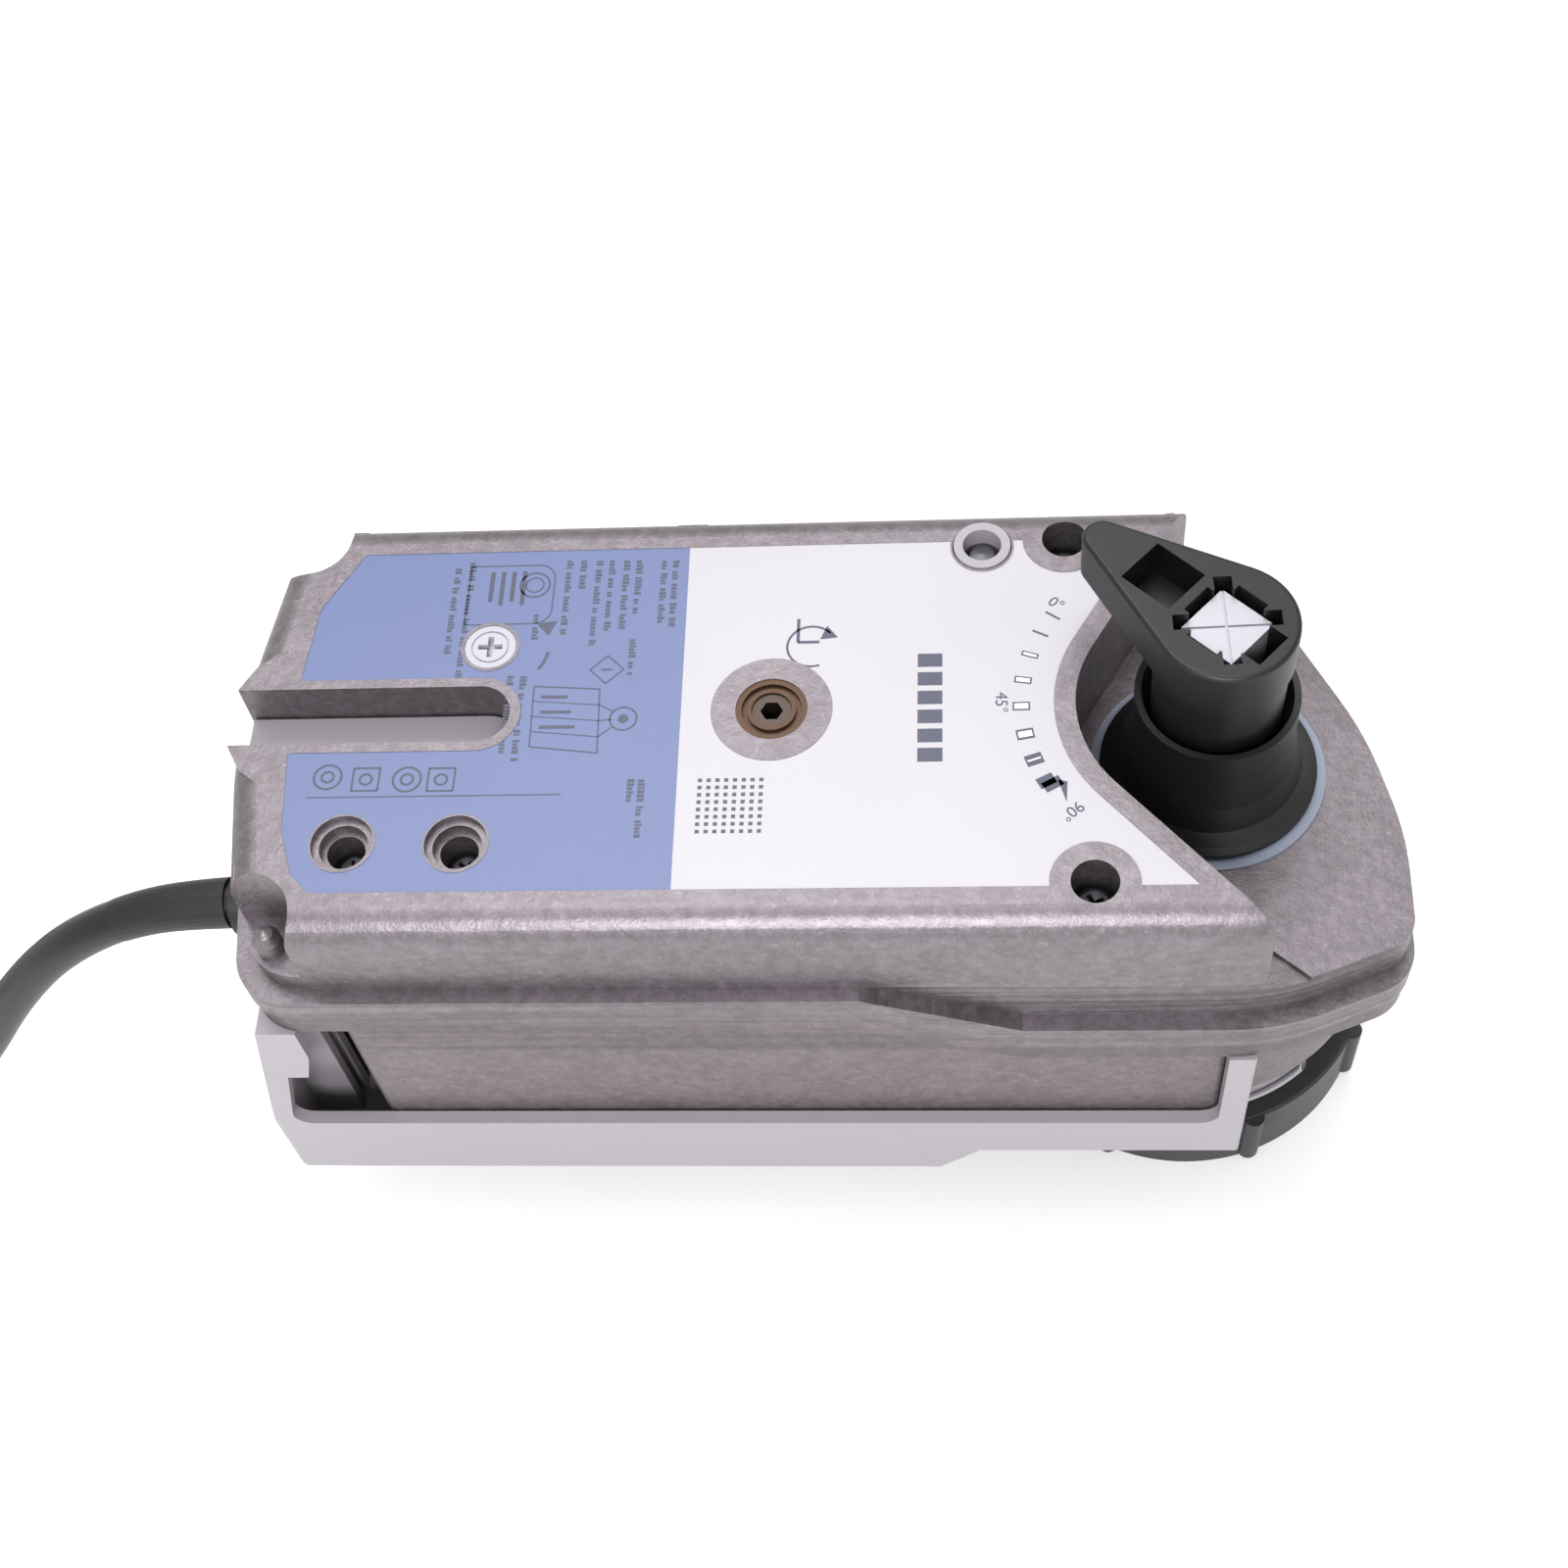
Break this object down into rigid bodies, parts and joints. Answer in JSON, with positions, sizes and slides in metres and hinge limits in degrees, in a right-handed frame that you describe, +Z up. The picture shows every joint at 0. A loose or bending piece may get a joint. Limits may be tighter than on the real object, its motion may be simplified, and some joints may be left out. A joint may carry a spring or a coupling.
{
  "type": "motorised actuator head",
  "caption": "Electric actuator head for a quarter-turn valve: cast housing on a plastic tray, spring-return gear train, position lever, clip-on union ring and trailing cable.",
  "frame": {"origin": "on the output shaft's axis, in the plane of the lower end of the sleeve for the valve's neck", "axes": "+Z up the output shaft towards the lever; +X towards the round nose, so the cable leaves towards -X; +Y across the body, away from the side the cable's outlet is on"},
  "size_m": [0.3545, 0.103, 0.1172],
  "materials": {
    "upper_housing": "bead-blasted die casting",
    "lower_housing": "bead-blasted die casting",
    "housing_gasket": "moulded",
    "face_label": "printed film, satin",
    "base_tray": "moulded",
    "tray_post": "moulded",
    "tray_post_screw": "zinc plated",
    "seal_ring": "moulded",
    "manual_drive_bush": "sintered bronze",
    "motor_can": "drawn",
    "motor_stator": "laminations with copper windings",
    "spring_arbor": "turned",
    "gear_plate": "stamped",
    "face_screws": "zinc plated",
    "plate_screws": "zinc plated",
    "clamp_screws": "zinc plated",
    "circuit_board": "solder mask",
    "board_parts": "moulded cases",
    "board_stands": "turned",
    "terminal_block": "moulded",
    "cable_grommet": "moulded",
    "cable": "smooth PVC jacket",
    "cable_coil": "smooth PVC jacket",
    "cable_wires": "insulated cores",
    "neck_clip": "spring wire",
    "drive_hub": "glass-filled, fine texture",
    "output_gear": "sintered",
    "indicator_lever": "moulded",
    "drive_square": "zinc plated",
    "hub_circlip": "spring steel",
    "final_arbor": "ground",
    "final_pinion": "cut",
    "final_wheel": "moulded",
    "barrel_pinion": "cut",
    "middle_arbor": "ground",
    "middle_pinion": "cut",
    "middle_wheel": "moulded",
    "manual_drive_shaft": "ground",
    "manual_pinion": "cut",
    "manual_wheel": "moulded",
    "motor_rotor": "sintered magnet",
    "motor_shaft": "ground",
    "motor_pinion": "cut",
    "spring_barrel": "pressed cup with cut teeth",
    "barrel_cover": "stamped",
    "mainspring": "blued strip",
    "lock_pin": "moulded",
    "union_ring": "moulded"
  },
  "bodies": {
    "housing": {"upper_housing": "upper_housing", "lower_housing": "lower_housing", "housing_gasket": "housing_gasket", "face_label": "face_label", "base_tray": "base_tray", "tray_post": "tray_post", "tray_post_screw": "tray_post_screw", "seal_ring": "seal_ring", "manual_drive_bush": "manual_drive_bush", "motor_can": "motor_can", "motor_stator": "motor_stator", "spring_arbor": "spring_arbor", "gear_plate": "gear_plate", "face_screws": "face_screws", "plate_screws": "plate_screws", "clamp_screws": "clamp_screws", "circuit_board": "circuit_board", "board_parts": "board_parts", "board_stands": "board_stands", "terminal_block": "terminal_block", "cable_grommet": "cable_grommet", "cable": "cable", "cable_coil": "cable_coil", "cable_wires": "cable_wires", "neck_clip": "neck_clip"},
    "output_drive": {"drive_hub": "drive_hub", "output_gear": "output_gear", "indicator_lever": "indicator_lever", "drive_square": "drive_square", "hub_circlip": "hub_circlip"},
    "final_stage": {"final_arbor": "final_arbor", "final_pinion": "final_pinion", "final_wheel": "final_wheel", "barrel_pinion": "barrel_pinion"},
    "middle_stage": {"middle_arbor": "middle_arbor", "middle_pinion": "middle_pinion", "middle_wheel": "middle_wheel"},
    "manual_drive": {"manual_drive_shaft": "manual_drive_shaft", "manual_pinion": "manual_pinion", "manual_wheel": "manual_wheel"},
    "rotor": {"motor_rotor": "motor_rotor", "motor_shaft": "motor_shaft", "motor_pinion": "motor_pinion"},
    "barrel": {"spring_barrel": "spring_barrel", "barrel_cover": "barrel_cover", "mainspring": "mainspring"},
    "stop_pin": {"lock_pin": "lock_pin"},
    "union": {"union_ring": "union_ring"}
  },
  "joints": [
    {"name": "output_turn", "type": "hinge", "parent": "housing", "child": "output_drive", "pos_m": [0, 0, 0.06], "axis": [0, 0, 1], "range_deg": [0, 90]},
    {"name": "final_stage_turn", "type": "hinge", "parent": "housing", "child": "final_stage", "pos_m": [-0.027, 0, 0.05], "axis": [0, 0, 1], "range_deg": [-260, 0]},
    {"name": "middle_stage_turn", "type": "hinge", "parent": "housing", "child": "middle_stage", "pos_m": [-0.04687, -0.00615, 0.066], "axis": [0, 0, 1], "range_deg": [0, 700]},
    {"name": "manual_drive_turn", "type": "hinge", "parent": "housing", "child": "manual_drive", "pos_m": [-0.0659, 0, 0.07], "axis": [0, 0, 1], "range_deg": [-1800, 0]},
    {"name": "rotor_turn", "type": "hinge", "parent": "housing", "child": "rotor", "pos_m": [-0.0839, 0, 0.066], "axis": [0, 0, 1], "range_deg": [0, 7180]},
    {"name": "barrel_turn", "type": "hinge", "parent": "housing", "child": "barrel", "pos_m": [-0.059, 0, 0.04], "axis": [0, 0, 1], "range_deg": [0, 80]},
    {"name": "stop_pin_turn", "type": "hinge", "parent": "housing", "child": "stop_pin", "pos_m": [-0.1101, 0.0125, 0.085], "axis": [0, 0, 1], "range_deg": [0, 90]},
    {"name": "union_ring_turn", "type": "hinge", "parent": "housing", "child": "union", "pos_m": [0, 0, 0.006], "axis": [0, 0, 1], "range_deg": [0, 60]}
  ],
  "couplings": [
    {"joint": "final_stage_turn", "follows": "output_turn", "ratio": -2.8571},
    {"joint": "middle_stage_turn", "follows": "output_turn", "ratio": 7.7551},
    {"joint": "manual_drive_turn", "follows": "output_turn", "ratio": -19.942},
    {"joint": "rotor_turn", "follows": "output_turn", "ratio": 79.767},
    {"joint": "barrel_turn", "follows": "output_turn", "ratio": 0.8}
  ]
}
